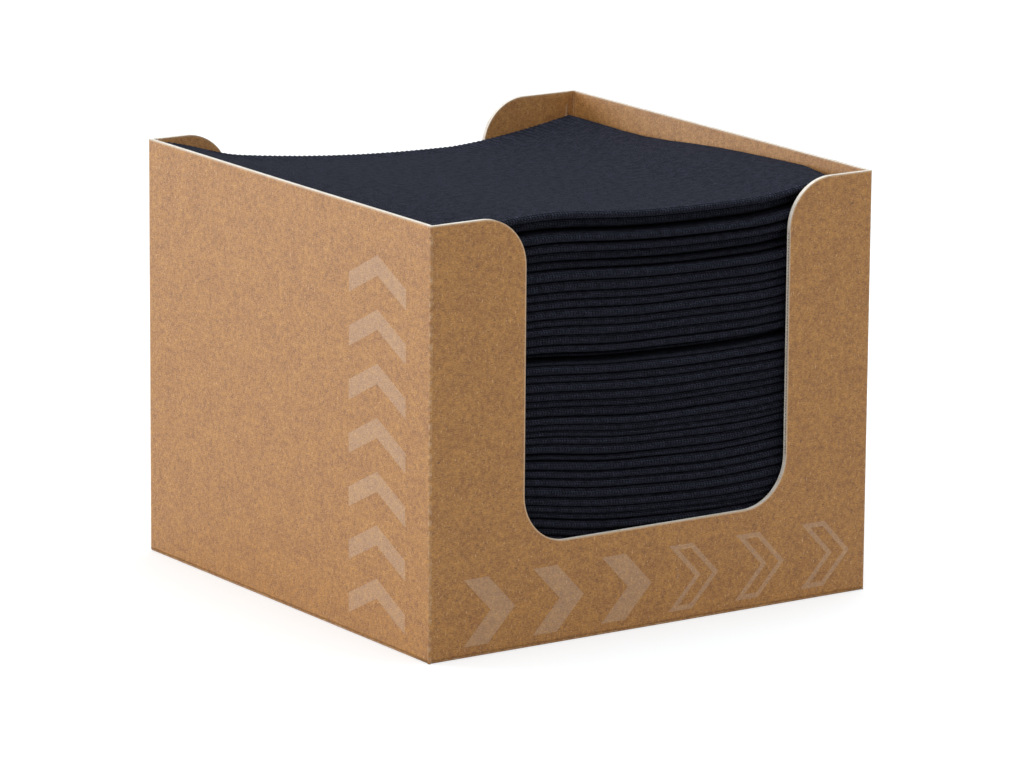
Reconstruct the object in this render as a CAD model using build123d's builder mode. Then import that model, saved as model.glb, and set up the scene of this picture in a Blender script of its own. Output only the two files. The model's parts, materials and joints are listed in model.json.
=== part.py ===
"""Open-topped board carton that holds a stack of quarter-folded napkins.

The carton is one die-cut sheet of fine-flute corrugated board: four walls folded into a tube,
a glued tab that closes the tube, and four bottom flaps. A U-shaped window in the front wall,
and the same in the back wall, lets fingers reach the folded edges of the napkins.

Frame: origin at the middle of the underside, +X to the right along the front, +Y to the back,
+Z up. The front faces -Y. Everything is in millimetres.
"""

from build123d import *
import math
import os

# Carton, outside sizes
width = 210.0  # along X
depth = 208.0  # along Y
height = 172.0  # along Z
board = 1.8  # thickness of the corrugated board
crease_radius = 2.2  # outside radius of a folded corner
mitre_reach = 10.0  # how far inwards a corner's mitre plane is drawn, past the board

# Window in the front and back walls
window_half = 62.8  # half of its width, between the straight sides
front_window_middle = 1.7  # how far right of the carton's middle it is cut in the front wall
back_window_middle = -5.0  # the same in the back wall, which is nearer the blank's seam
window_sill = 41.0  # height of its lower edge
window_radius = 20.0  # of its rounded lower corners and of the rounded ends of its rim
window_overrun = 6.0  # how far the cutter stands above the rim

# Bottom flaps: the front and back ones lie underneath, the left and right ones on top of them
flap_side_gap = 0.8  # clearance of a flap's root from the walls beside it
flap_taper = 9.0  # how much narrower a flap is, at each side, once clear of its wall
flap_meeting_gap = 1.6  # between the free edges of two flaps that meet

# Tab that closes the tube, glued inside the left wall at its back corner
tab_width = 30.0
tab_root_gap = 0.6  # from the back wall's inner face to the tab, past the crease's inside radius
tab_end_gap = 3.0  # from the tab's ends to the rim and to the flaps
tab_taper = 8.0  # how much shorter the tab's free edge is, at each end

# Napkins: 400 mm squares folded twice, with the closed fold to the front
napkin_count = 50
napkin_side = 200.0
stack_front = 163.4  # height of the stack along its front, where the folds are thick
stack_back = 153.6  # height of the stack along its back
stack_press = 0.2  # how much thicker the top napkin is than the lowest, over the mean thickness
layer_gap = 0.06  # air between one napkin and the next
fold_radius = 1.4  # rounding of the closed fold

os.makedirs("parts", exist_ok=True)

inner_width = width - 2 * board
inner_depth = depth - 2 * board
floor_top = 2 * board

front_left = (-width / 2, -depth / 2)
front_right = (width / 2, -depth / 2)
back_left = (-width / 2, depth / 2)
back_right = (width / 2, depth / 2)


def inward(corner):
    """The point that lies inside the tube on a corner's 45 degree mitre line."""
    x, y = corner
    return (x - math.copysign(mitre_reach, x), y - math.copysign(mitre_reach, y))


def wall_section(corner_a, corner_b):
    """Plan of one wall: the folded tube's ring between the mitres of two corners."""
    with BuildSketch() as section:
        RectangleRounded(width, depth, crease_radius)
        RectangleRounded(inner_width, inner_depth, crease_radius - board, mode=Mode.SUBTRACT)
        with BuildLine():
            Polyline(corner_a, corner_b, inward(corner_b), inward(corner_a), close=True)
        make_face(mode=Mode.INTERSECT)
    return section.sketch


def window_outline(middle):
    """The U-shaped window, seen from the front, with its rim rounded outwards at the top."""
    with BuildSketch(Plane.XZ.move(Location((middle, 0, 0)))) as outline:
        with BuildLine():
            lower = (window_half - window_radius, window_sill)
            upper = (window_half + window_radius, height)
            Line((0, window_sill), lower)
            CenterArc((lower[0], window_sill + window_radius), window_radius, 270, 90)
            Line((window_half, window_sill + window_radius), (window_half, height - window_radius))
            CenterArc((upper[0], height - window_radius), window_radius, 180, -90)
            Line(upper, (upper[0], height + window_overrun))
            Line((upper[0], height + window_overrun), (0, height + window_overrun))
            mirror(about=Plane.YZ)
        make_face()
    return outline.sketch


# Front and back walls, each with its window
with BuildPart() as front_panel:
    extrude(wall_section(front_left, front_right), amount=height)
    extrude(window_outline(front_window_middle), amount=depth, both=True, mode=Mode.SUBTRACT)
front_panel.part.label = "front_panel"
export_step(front_panel.part, "parts/front_panel.step")

with BuildPart() as back_panel:
    extrude(wall_section(back_left, back_right), amount=height)
    extrude(window_outline(back_window_middle), amount=depth, both=True, mode=Mode.SUBTRACT)
back_panel.part.label = "back_panel"
export_step(back_panel.part, "parts/back_panel.step")

# Side walls
with BuildPart() as left_panel:
    extrude(wall_section(front_left, back_left), amount=height)
left_panel.part.label = "left_panel"
export_step(left_panel.part, "parts/left_panel.step")

with BuildPart() as right_panel:
    extrude(wall_section(front_right, back_right), amount=height)
right_panel.part.label = "right_panel"
export_step(right_panel.part, "parts/right_panel.step")

# Glued tab, a tapered strip folded off the back wall
tab_foot = floor_top + tab_end_gap
tab_head = height - tab_end_gap
tab_root = inner_depth / 2 - tab_root_gap
with BuildPart() as glue_tab:
    with BuildSketch(Plane.YZ.offset(board - width / 2)):
        with BuildLine():
            Polyline(
                (tab_root, tab_foot),
                (tab_root, tab_head),
                (tab_root - tab_width, tab_head - tab_taper),
                (tab_root - tab_width, tab_foot + tab_taper),
                close=True,
            )
        make_face()
    extrude(amount=board)
glue_tab.part.label = "glue_tab"
export_step(glue_tab.part, "parts/glue_tab.step")

# Bottom flaps, turned so that each reaches inwards from the wall it is folded off
for name, turn, half, wall, foot in (
    ("bottom_flap_front", 0, inner_width / 2, inner_depth / 2, 0),
    ("bottom_flap_right", 90, inner_depth / 2, inner_width / 2, board),
    ("bottom_flap_back", 180, inner_width / 2, inner_depth / 2, 0),
    ("bottom_flap_left", 270, inner_depth / 2, inner_width / 2, board),
):
    root = half - flap_side_gap
    with BuildPart() as flap:
        with BuildSketch(Plane.XY.offset(foot).rotated((0, 0, turn))):
            with BuildLine():
                Polyline(
                    (0, -wall),
                    (root, -wall),
                    (root - flap_taper, flap_taper - wall),
                    (root - flap_taper, -flap_meeting_gap / 2),
                    (0, -flap_meeting_gap / 2),
                )
                mirror(about=Plane.YZ)
            make_face()
        extrude(amount=board)
    flap.part.label = name
    export_step(flap.part, f"parts/{name}.step")


def stack_share(count):
    """Share of the stack's height that its lowest napkins take up, pressed flatter lower down."""
    lean = count * (count - 1) / 2 / (napkin_count - 1) - count / 2
    return (count + stack_press * lean) / napkin_count


# Napkins, numbered from the bottom; each is a shade thicker at its closed fold
stack_foot = floor_top + layer_gap
for number in range(1, napkin_count + 1):
    under, over = stack_share(number - 1), stack_share(number)
    with BuildPart() as napkin:
        with BuildSketch(Plane.YZ.offset(-napkin_side / 2)) as profile:
            with BuildLine():
                Polyline(
                    (-napkin_side / 2, stack_foot + under * stack_front),
                    (napkin_side / 2, stack_foot + under * stack_back),
                    (napkin_side / 2, stack_foot + over * stack_back - layer_gap),
                    (-napkin_side / 2, stack_foot + over * stack_front - layer_gap),
                    close=True,
                )
            make_face()
            fillet(profile.vertices().sort_by(Axis.X)[:2], radius=fold_radius)
        extrude(amount=napkin_side)
    name = f"napkin_{number:02d}"
    napkin.part.label = name
    export_step(napkin.part, f"parts/{name}.step")
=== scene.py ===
"""Looks of an open-topped napkin carton: corrugated board walls round a stack of folded napkins.

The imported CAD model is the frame. The board is built ply by ply (outer liner, fluted medium,
inner liner) on the folded shape of the die-cut blank, and each napkin is a real sheet, folded
twice. Everything is in metres, in the frame's own axes: +X right, +Y back, +Z up, front at -Y.
"""

from __future__ import annotations

import json
import logging
import math
import random
from collections.abc import Callable, Sequence
from dataclasses import dataclass, field
from enum import Enum

import bpy
import numpy as np
from mathutils import Matrix, Vector


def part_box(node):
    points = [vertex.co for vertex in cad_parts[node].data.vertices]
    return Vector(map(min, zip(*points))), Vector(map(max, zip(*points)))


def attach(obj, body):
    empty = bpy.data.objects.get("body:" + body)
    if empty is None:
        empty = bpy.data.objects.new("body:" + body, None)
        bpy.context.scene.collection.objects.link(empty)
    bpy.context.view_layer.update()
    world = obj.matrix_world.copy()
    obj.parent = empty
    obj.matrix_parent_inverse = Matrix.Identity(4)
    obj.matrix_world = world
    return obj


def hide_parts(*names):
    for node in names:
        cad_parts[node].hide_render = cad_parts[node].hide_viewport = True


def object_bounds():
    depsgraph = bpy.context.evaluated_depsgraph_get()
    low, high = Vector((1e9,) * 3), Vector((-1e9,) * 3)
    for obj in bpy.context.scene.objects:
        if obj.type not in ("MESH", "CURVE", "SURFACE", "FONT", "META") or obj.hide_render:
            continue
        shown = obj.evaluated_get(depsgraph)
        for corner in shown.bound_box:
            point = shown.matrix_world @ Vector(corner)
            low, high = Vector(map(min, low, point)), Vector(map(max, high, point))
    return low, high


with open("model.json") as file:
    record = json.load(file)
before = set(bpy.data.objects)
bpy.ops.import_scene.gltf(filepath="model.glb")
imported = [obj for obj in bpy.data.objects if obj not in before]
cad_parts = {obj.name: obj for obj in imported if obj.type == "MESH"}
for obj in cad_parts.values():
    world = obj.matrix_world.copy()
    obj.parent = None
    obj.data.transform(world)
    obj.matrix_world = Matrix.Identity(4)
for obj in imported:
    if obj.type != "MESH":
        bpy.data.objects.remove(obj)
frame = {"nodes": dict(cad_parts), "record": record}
CAD_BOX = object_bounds()

MM = 0.001
FLUTE_PITCH = 2.4 * MM
SHEET_UV = "sheet"
WEAR = "wear"
# Mask of pale lines on the board: rubbing, and painted highlight along folds and scores.
CREASE_RUB_AND_HIGHLIGHT = "crease"
log = logging.getLogger("napkin_carton")


class Slot(Enum):
    """The record's material slots."""

    BOARD = "kraft_board"
    NAPKIN = "airlaid_napkin"
    INK = "pale_ink"


class Body(Enum):
    """The body that the board and its print ride on; the napkins' bodies are in the record."""

    CARTON = "carton"


# ---------------------------------------------------------------------------------------------
# Mesh helpers
# ---------------------------------------------------------------------------------------------


def smoothstep(low: float, high: float, value: np.ndarray) -> np.ndarray:
    """Ease from 0 at low to 1 at high.

    Args:
        low: Value at which the ramp starts.
        high: Value at which the ramp is full.
        value: Values to ease.

    Returns:
        The eased values, from 0 to 1.
    """
    t = np.clip((value - low) / (high - low), 0.0, 1.0)
    return t * t * (3.0 - 2.0 * t)


def new_object(name: str, mesh: bpy.types.Mesh) -> bpy.types.Object:
    """Link a mesh to the scene as an object.

    Args:
        name: The piece's name.
        mesh: Its mesh.

    Returns:
        The new object.
    """
    obj = bpy.data.objects.new(name, mesh)
    bpy.context.scene.collection.objects.link(obj)
    return obj


@dataclass
class SheetGrid:
    """A sheet with two faces on one grid of rows and columns, closed by a rim at its cut edges.

    Attributes:
        top: Points of one face, shaped (rows, columns, 3).
        under: Points of the other face, shaped the same.
        keep: Which cells exist, shaped (rows - 1, columns - 1).
        uv: Place of each point on the flat sheet, in metres, shaped (rows, columns, 2).
        masks: Extra values for each point, by attribute name, each shaped (rows, columns).
    """

    top: np.ndarray
    under: np.ndarray
    keep: np.ndarray
    uv: np.ndarray
    masks: dict[str, np.ndarray] = field(default_factory=dict)

    def build(self, name: str) -> bpy.types.Mesh:
        """Make the closed mesh: two faces, and a flat-shaded rim in the second material slot.

        Args:
            name: Name for the mesh.

        Returns:
            The mesh, with a UV map in metres and one attribute for each mask.
        """
        rows, columns = self.top.shape[:2]
        index = np.arange(rows * columns).reshape(rows, columns)
        corner = [index[:-1, :-1], index[:-1, 1:], index[1:, 1:], index[1:, :-1]]
        faces = np.stack([c[self.keep] for c in corner], axis=1)
        shift = rows * columns
        rims = self._rims(index)
        rim_faces = np.column_stack([rims[:, 1], rims[:, 0], rims[:, 0] + shift, rims[:, 1] + shift])
        quads = np.concatenate([faces, faces[:, ::-1] + shift, rim_faces])
        points = np.concatenate([self.top.reshape(-1, 3), self.under.reshape(-1, 3)])
        used, quads = np.unique(quads, return_inverse=True)
        quads = quads.reshape(-1, 4)
        mesh = bpy.data.meshes.new(name)
        mesh.from_pydata(points[used].tolist(), [], quads.tolist())
        count = len(faces) * 2
        flags = np.arange(len(quads)) < count
        mesh.polygons.foreach_set("use_smooth", flags)
        mesh.polygons.foreach_set("material_index", (~flags).astype(np.int32))
        flat = np.concatenate([self.uv.reshape(-1, 2)] * 2)[used]
        layer = mesh.uv_layers.new(name=SHEET_UV)
        layer.data.foreach_set("uv", flat[quads.ravel()].astype(np.float32).ravel())
        for key, values in self.masks.items():
            attribute = mesh.attributes.new(key, "FLOAT", "POINT")
            both = np.concatenate([values.ravel()] * 2)[used]
            attribute.data.foreach_set("value", both.astype(np.float32))
        mesh.update()
        return mesh

    def _rims(self, index: np.ndarray) -> np.ndarray:
        """Directed edges of the kept cells that no second kept cell shares.

        Args:
            index: Point numbers, shaped (rows, columns).

        Returns:
            Pairs of point numbers, shaped (edges, 2).
        """
        keep = self.keep
        row_pad = np.zeros((1, keep.shape[1]), bool)
        column_pad = np.zeros((keep.shape[0], 1), bool)
        below = np.vstack([row_pad, keep[:-1]])
        above = np.vstack([keep[1:], row_pad])
        before = np.hstack([column_pad, keep[:, :-1]])
        after = np.hstack([keep[:, 1:], column_pad])
        low_left, low_right = index[:-1, :-1], index[:-1, 1:]
        high_left, high_right = index[1:, :-1], index[1:, 1:]
        sides = [
            (keep & ~below, low_left, low_right),
            (keep & ~after, low_right, high_right),
            (keep & ~above, high_right, high_left),
            (keep & ~before, high_left, low_left),
        ]
        return np.concatenate([np.stack([a[m], b[m]], axis=1) for m, a, b in sides])


# ---------------------------------------------------------------------------------------------
# Shader helpers
# ---------------------------------------------------------------------------------------------


class NodeTree:
    """Short ways to add and join nodes in one node tree."""

    def __init__(self, tree: bpy.types.NodeTree) -> None:
        """Work on this tree.

        Args:
            tree: A material's tree or a node group.
        """
        self.tree = tree

    def add(self, kind: str, **settings: object) -> bpy.types.Node:
        """Add a node.

        Args:
            kind: The node's bl_idname.
            **settings: Properties to set on it.

        Returns:
            The new node.
        """
        node = self.tree.nodes.new(kind)
        for key, value in settings.items():
            setattr(node, key, value)
        return node

    def join(self, source: bpy.types.NodeSocket, target: bpy.types.NodeSocket) -> None:
        """Link an output to an input."""
        self.tree.links.new(source, target)

    def put(self, value: object, target: bpy.types.NodeSocket) -> None:
        """Link a socket, or set a plain value, on an input."""
        if isinstance(value, bpy.types.NodeSocket):
            self.join(value, target)
        else:
            target.default_value = value

    def math(self, kind: str, a: object, b: object = 0.0, c: object = 0.0) -> bpy.types.NodeSocket:
        """Add a Math node.

        Args:
            kind: Its operation.
            a: First value or socket.
            b: Second value or socket.
            c: Third value or socket.

        Returns:
            Its output.
        """
        node = self.add("ShaderNodeMath", operation=kind)
        for socket, value in zip(node.inputs, (a, b, c)):
            self.put(value, socket)
        return node.outputs[0]

    def ramp(self, value: object, low: float, high: float, bottom: object = 0.0, top: object = 1.0
             ) -> bpy.types.NodeSocket:
        """Map a value smoothly from low..high to bottom..top.

        Args:
            value: Value or socket to map.
            low: Input that gives bottom.
            high: Input that gives top.
            bottom: Output at low.
            top: Output at high.

        Returns:
            The mapped value.
        """
        node = self.add("ShaderNodeMapRange", interpolation_type="SMOOTHSTEP")
        for socket, given in zip(node.inputs, (value, low, high, bottom, top)):
            self.put(given, socket)
        return node.outputs[0]

    def noise(self, vector: bpy.types.NodeSocket, scale: float, detail: float = 2.0,
              roughness: float = 0.5) -> bpy.types.NodeSocket:
        """Add a Noise Texture.

        Args:
            vector: Coordinates.
            scale: Its scale.
            detail: Octaves.
            roughness: Weight of the finer octaves.

        Returns:
            Its factor output.
        """
        node = self.add("ShaderNodeTexNoise")
        self.join(vector, node.inputs["Vector"])
        node.inputs["Scale"].default_value = scale
        node.inputs["Detail"].default_value = detail
        node.inputs["Roughness"].default_value = roughness
        return node.outputs["Fac"]

    def stretch(self, vector: bpy.types.NodeSocket, scale: Sequence[float], turn: float = 0.0
                ) -> bpy.types.NodeSocket:
        """Scale coordinates by a different amount on each axis.

        Args:
            vector: Coordinates.
            scale: Factor on each axis.
            turn: Rotation about the third axis, in radians.

        Returns:
            The scaled coordinates.
        """
        node = self.add("ShaderNodeMapping")
        self.join(vector, node.inputs["Vector"])
        node.inputs["Rotation"].default_value = (0.0, 0.0, turn)
        node.inputs["Scale"].default_value = tuple(scale)
        return node.outputs[0]

    def mix(self, factor: object, a: object, b: object) -> bpy.types.NodeSocket:
        """Mix two colours.

        Args:
            factor: How much of b.
            a: First colour or socket.
            b: Second colour or socket.

        Returns:
            The mixed colour.
        """
        node = self.add("ShaderNodeMix", data_type="RGBA")
        self.put(factor, node.inputs[0])
        self.put(a, node.inputs[6])
        self.put(b, node.inputs[7])
        return node.outputs[2]

    def attribute(self, name: str) -> bpy.types.NodeSocket:
        """Read a mesh attribute's value."""
        return self.add("ShaderNodeAttribute", attribute_name=name).outputs["Fac"]

    def group(self, group: bpy.types.NodeTree, **values: object) -> bpy.types.Node:
        """Place a node group.

        Args:
            group: The group to place.
            **values: Values or sockets for its named inputs.

        Returns:
            The group's node.
        """
        node = self.add("ShaderNodeGroup")
        node.node_tree = group
        for key, value in values.items():
            self.put(value, node.inputs[key])
        return node


class EffectGroup:
    """A shader node group with named sockets, built once and placed in several materials."""

    name = "effect"
    inputs: tuple[tuple[str, str, object], ...] = ()
    outputs: tuple[tuple[str, str], ...] = ()

    def tree(self) -> bpy.types.NodeTree:
        """Find the group, or build it the first time.

        Returns:
            The node group.
        """
        known = bpy.data.node_groups.get(self.name)
        if known:
            return known
        made = bpy.data.node_groups.new(self.name, "ShaderNodeTree")
        for label, kind, default in self.inputs:
            socket = made.interface.new_socket(label, in_out="INPUT", socket_type=kind)
            if default is not None:
                socket.default_value = default
        for label, kind in self.outputs:
            made.interface.new_socket(label, in_out="OUTPUT", socket_type=kind)
        nodes = NodeTree(made)
        given = nodes.add("NodeGroupInput")
        out = nodes.add("NodeGroupOutput")
        self.fill(nodes, given.outputs, out.inputs)
        return made

    def fill(self, nodes: NodeTree, given: bpy.types.NodeOutputs, out: bpy.types.NodeInputs) -> None:
        """Add the group's own nodes. Each effect has its own."""
        raise NotImplementedError


FLOAT, VECTOR = "NodeSocketFloat", "NodeSocketVector"


class PaperFibre(EffectGroup):
    """Pulp fibres of unbleached paper: mottled tone, dark shives, pale hairs and relief.

    Attributes:
        cloud_grain: Lumps in a metre of the soft clouds; the other grains count the same way.
        mottle_grain: Of the mottle.
        streak_grain: Of the fine streaks.
        shive_grain: Of the dark shives.
        hair_grain: Of the pale hairs.
    """

    cloud_grain = 95.0
    mottle_grain = 430.0
    streak_grain = 980.0
    shive_grain = 560.0
    hair_grain = 500.0
    name = "paper_fibre"
    inputs = (("Vector", VECTOR, None), ("Amount", FLOAT, 1.0))
    outputs = (("Tone", FLOAT), ("Shive", FLOAT), ("Hair", FLOAT), ("Height", FLOAT))

    def fill(self, nodes: NodeTree, given: bpy.types.NodeOutputs, out: bpy.types.NodeInputs) -> None:
        """Build the fibre masks from noises stretched along the paper machine's direction."""
        place = given["Vector"]
        cloud = nodes.ramp(nodes.noise(place, self.cloud_grain, 3.0, 0.6), 0.34, 0.66)
        mottle = nodes.ramp(nodes.noise(place, self.mottle_grain, 4.0, 0.72), 0.3, 0.7)
        lay = nodes.stretch(place, (1.0, 2.4, 1.0), math.radians(12.0))
        streak = nodes.ramp(nodes.noise(lay, self.streak_grain, 3.0, 0.68), 0.3, 0.7)
        tone = nodes.math("MULTIPLY_ADD", cloud, 0.12,
                          nodes.math("MULTIPLY_ADD", mottle, 0.40,
                                     nodes.math("MULTIPLY", streak, 0.48)))
        nodes.join(tone, out["Tone"])
        along = nodes.stretch(place, (1.0, 3.0, 1.0), math.radians(8.0))
        shive = nodes.noise(along, self.shive_grain, 1.0)
        dark = nodes.math("MULTIPLY", nodes.ramp(shive, 0.65, 0.73), given["Amount"])
        nodes.join(dark, out["Shive"])
        slanted = nodes.stretch(place, (4.2, 1.0, 1.0), math.radians(-31.0))
        hair = nodes.noise(slanted, self.hair_grain, 1.0)
        pale = nodes.math("MULTIPLY", nodes.ramp(hair, 0.66, 0.73), given["Amount"])
        nodes.join(pale, out["Hair"])
        nodes.join(nodes.math("MULTIPLY_ADD", mottle, 0.5, streak), out["Height"])


class FluteShow(EffectGroup):
    """Faint ridges where a liner sags between the flute crests under it."""

    name = "flute_show"
    inputs = (("Vector", VECTOR, None), ("Pitch", FLOAT, FLUTE_PITCH))
    outputs = (("Height", FLOAT),)

    def fill(self, nodes: NodeTree, given: bpy.types.NodeOutputs, out: bpy.types.NodeInputs) -> None:
        """One sine ridge for each flute, fading in and out over the sheet."""
        parts = nodes.add("ShaderNodeSeparateXYZ")
        nodes.join(given["Vector"], parts.inputs[0])
        turns = nodes.math("DIVIDE", parts.outputs[1], given["Pitch"])
        wave = nodes.math("COSINE", nodes.math("MULTIPLY", turns, 2.0 * math.pi))
        patch = nodes.ramp(nodes.noise(given["Vector"], 22.0, 2.0), 0.35, 0.65, 0.35, 1.0)
        nodes.join(nodes.math("MULTIPLY", nodes.math("MULTIPLY_ADD", wave, 0.5, 0.5), patch),
                   out["Height"])


class EdgeFray(EffectGroup):
    """A ragged mask that is full on its Edge value, a scuffed edge in one use and painted highlight
    along folds and scores in the other, and breaks up away from it.
    """

    name = "edge_fray"
    inputs = (("Vector", VECTOR, None), ("Edge", FLOAT, 0.0), ("Grain", FLOAT, 900.0))
    outputs = (("Mask", FLOAT),)

    def fill(self, nodes: NodeTree, given: bpy.types.NodeOutputs, out: bpy.types.NodeInputs) -> None:
        """Push the smooth edge value up and down with noise, then sharpen it."""
        noise = nodes.add("ShaderNodeTexNoise")
        nodes.join(given["Vector"], noise.inputs["Vector"])
        nodes.join(given["Grain"], noise.inputs["Scale"])
        noise.inputs["Detail"].default_value = 3.0
        ragged = nodes.math("MULTIPLY_ADD", noise.outputs["Fac"], 0.9, -0.45)
        pushed = nodes.math("ADD", given["Edge"], ragged)
        nodes.join(nodes.ramp(pushed, 0.25, 0.85), out["Mask"])


class GridEmboss(EffectGroup):
    """Small pressed squares, as rolled into airlaid napkins, with the web's soft fibres on top.

    Attributes:
        waver_grain: Lumps in a metre of the grooves' waver; the other grains count the same way.
        fuzz_grain: Of the loose fibres.
        soft_grain: Of the web's softer lumps.
        lint_grain: Of the pale lint.
    """

    waver_grain = 420.0
    fuzz_grain = 1500.0
    soft_grain = 240.0
    lint_grain = 900.0
    name = "grid_emboss"
    inputs = (("Vector", VECTOR, None), ("Period", FLOAT, 1.0 * MM))
    outputs = (("Height", FLOAT), ("Groove", FLOAT), ("Fuzz", FLOAT), ("Lint", FLOAT))

    def fill(self, nodes: NodeTree, given: bpy.types.NodeOutputs, out: bpy.types.NodeInputs) -> None:
        """Two crossed rows of grooves that waver, fibre noise, and a few pale lint specks."""
        parts = nodes.add("ShaderNodeSeparateXYZ")
        nodes.join(given["Vector"], parts.inputs[0])
        wobble = nodes.noise(given["Vector"], self.waver_grain, 2.0)
        waver = nodes.math("MULTIPLY_ADD", wobble, 0.9, -0.45)
        rows = []
        for axis in (0, 1):
            turns = nodes.math("DIVIDE", parts.outputs[axis], given["Period"])
            turns = nodes.math("ADD", turns, waver)
            wave = nodes.math("ABSOLUTE", nodes.math("SINE", nodes.math("MULTIPLY", turns, math.pi)))
            rows.append(nodes.ramp(wave, 0.0, 0.85))
        square = nodes.math("MULTIPLY", rows[0], rows[1])
        combed = nodes.stretch(given["Vector"], (1.0, 1.5, 1.0))
        fuzz = nodes.noise(combed, self.fuzz_grain, 4.0, 0.75)
        soft = nodes.noise(given["Vector"], self.soft_grain, 3.0, 0.6)
        lint = nodes.noise(given["Vector"], self.lint_grain, 1.0)
        nodes.join(nodes.math("ADD", nodes.math("MULTIPLY", square, 0.7),
                              nodes.math("MULTIPLY_ADD", fuzz, 0.6,
                                         nodes.math("MULTIPLY", soft, 0.4))), out["Height"])
        nodes.join(nodes.math("SUBTRACT", 1.0, square), out["Groove"])
        nodes.join(fuzz, out["Fuzz"])
        nodes.join(nodes.ramp(lint, 0.775, 0.80), out["Lint"])


# ---------------------------------------------------------------------------------------------
# Finishes
# ---------------------------------------------------------------------------------------------

Colour = tuple[float, float, float, float]


def start_material(name: str) -> tuple[bpy.types.Material, NodeTree, bpy.types.Node]:
    """Make an empty node material with a Principled BSDF.

    Args:
        name: The material's name.

    Returns:
        The material, its tree's helper and the shader node.
    """
    material = bpy.data.materials.new(name)
    material.use_nodes = True
    material.node_tree.nodes.clear()
    nodes = NodeTree(material.node_tree)
    shader = nodes.add("ShaderNodeBsdfPrincipled")
    out = nodes.add("ShaderNodeOutputMaterial")
    nodes.join(shader.outputs[0], out.inputs["Surface"])
    return material, nodes, shader


def flat_place(nodes: NodeTree) -> bpy.types.NodeSocket:
    """Coordinates on the flat sheet, in metres."""
    return nodes.add("ShaderNodeUVMap", uv_map=SHEET_UV).outputs[0]


def raise_bump(nodes: NodeTree, height: bpy.types.NodeSocket, distance: float,
               strength: float = 1.0, under: bpy.types.NodeSocket | None = None
               ) -> bpy.types.NodeSocket:
    """Turn a height into a normal.

    Args:
        nodes: The material's tree.
        height: Height from 0 to 1.
        distance: What a height of 1 stands for, in metres.
        strength: How much of it shows.
        under: A normal to build on.

    Returns:
        The bumped normal.
    """
    bump = nodes.add("ShaderNodeBump")
    bump.inputs["Strength"].default_value = strength
    bump.inputs["Distance"].default_value = distance
    nodes.join(height, bump.inputs["Height"])
    if under is not None:
        nodes.join(under, bump.inputs["Normal"])
    return bump.outputs[0]


@dataclass(frozen=True)
class KraftFace:
    """Face of an unbleached liner: brown, fibrous, paler where it is scuffed, and paler along folds
    and scores as rubbing and painted highlight.

    Attributes:
        name: The material's name.
        deep: Darkest paper tone.
        pale: Lightest paper tone.
        shive: Dark wood specks.
        hair: Pale fibres.
        worn_and_highlight: Pale colour where it is cut or rubbed, which along folds and scores is
            also painted highlight.
        ink: Print over it, if any.
        ink_cover: How much of the paper the ink hides.
        gloss: The sized paper's reflection.
        relief: Height of the fibres.
        ribs: Height of the flutes that show through.
    """

    name: str = "kraft_face"
    deep: Colour = (0.185, 0.045, 0.002, 1.0)
    pale: Colour = (0.635, 0.290, 0.036, 1.0)
    shive: Colour = (0.07, 0.025, 0.006, 1.0)
    hair: Colour = (0.78, 0.48, 0.24, 1.0)
    worn_and_highlight: Colour = (0.74, 0.56, 0.38, 1.0)
    ink: Colour | None = None
    ink_cover: float = 0.0
    gloss: float = 0.95
    relief: float = 0.035 * MM
    ribs: float = 0.010 * MM

    def material(self) -> bpy.types.Material:
        """Build the material.

        Returns:
            The material.
        """
        material, nodes, shader = start_material(self.name)
        place = flat_place(nodes)
        fibre = nodes.group(PaperFibre().tree(), Vector=place, Amount=1.0).outputs
        colour = nodes.mix(fibre["Tone"], self.deep, self.pale)
        colour = nodes.mix(nodes.math("MULTIPLY", fibre["Shive"], 0.7), colour, self.shive)
        colour = nodes.mix(nodes.math("MULTIPLY", fibre["Hair"], 0.6), colour, self.hair)
        if self.ink is not None:
            speckle = nodes.noise(place, 1300.0, 4.0, 0.7)
            cover = nodes.ramp(speckle, 0.3, 0.72, self.ink_cover * 0.55, self.ink_cover * 1.35)
            colour = nodes.mix(cover, colour, self.ink)
        fray = EdgeFray().tree()
        cut = nodes.group(fray, Vector=place, Edge=nodes.attribute(WEAR), Grain=1400.0)
        fold = nodes.group(fray, Vector=place, Edge=nodes.attribute(CREASE_RUB_AND_HIGHLIGHT), Grain=420.0)
        # Pale at cut edges from scuffing, and pale along folds and scores: rubbing and painted
        # highlight.
        colour = nodes.mix(nodes.math("MULTIPLY", cut.outputs["Mask"], 0.55), colour, self.worn_and_highlight)
        colour = nodes.mix(nodes.math("MULTIPLY", fold.outputs["Mask"], 0.6), colour, self.worn_and_highlight)
        nodes.join(colour, shader.inputs["Base Color"])
        nodes.join(nodes.ramp(fibre["Tone"], 0.2, 0.8, 0.52, 0.43), shader.inputs["Roughness"])
        shader.inputs["Specular IOR Level"].default_value = self.gloss
        flutes = nodes.group(FluteShow().tree(), Vector=place, Pitch=FLUTE_PITCH)
        ribs = raise_bump(nodes, flutes.outputs["Height"], self.ribs)
        normal = raise_bump(nodes, fibre["Height"], self.relief, 0.9, ribs)
        nodes.join(normal, shader.inputs["Normal"])
        return material


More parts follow.
